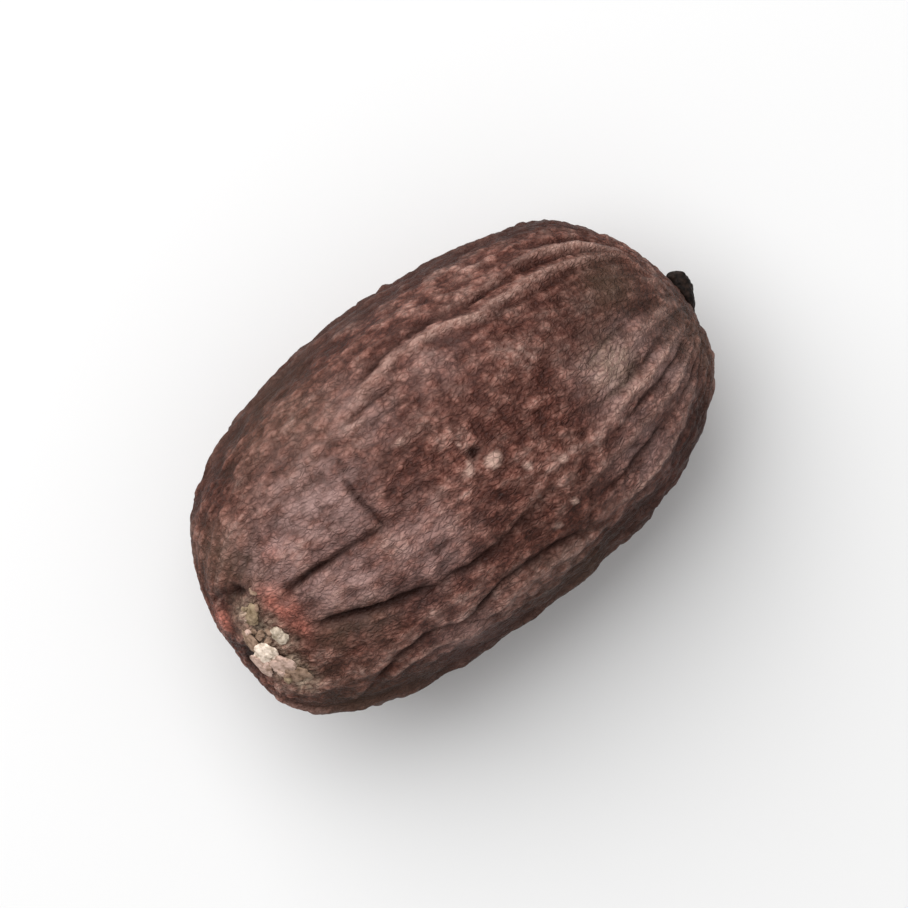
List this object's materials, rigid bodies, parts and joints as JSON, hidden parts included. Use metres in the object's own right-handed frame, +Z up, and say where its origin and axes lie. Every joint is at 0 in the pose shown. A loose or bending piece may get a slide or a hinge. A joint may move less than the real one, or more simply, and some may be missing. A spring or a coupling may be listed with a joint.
{
  "type": "jojoba seed",
  "caption": "Single dried jojoba seed lying on its side: oval and reddish brown, creased lengthwise, with a pale scar at one end and a small dark beak at the other.",
  "frame": {"origin": "on the ground, under the middle of the seed's bounding box", "axes": "+X along the seed from the scar to the beak, +Y across it, +Z up from the flat spot that it rests on"},
  "size_m": [0.0168, 0.0102, 0.0089],
  "materials": {
    "seed_coat": "dry satin seed coat, dark reddish brown with paler ridges and greyer ends"
  },
  "bodies": {
    "root": {"seed": "seed_coat"}
  },
  "joints": []
}
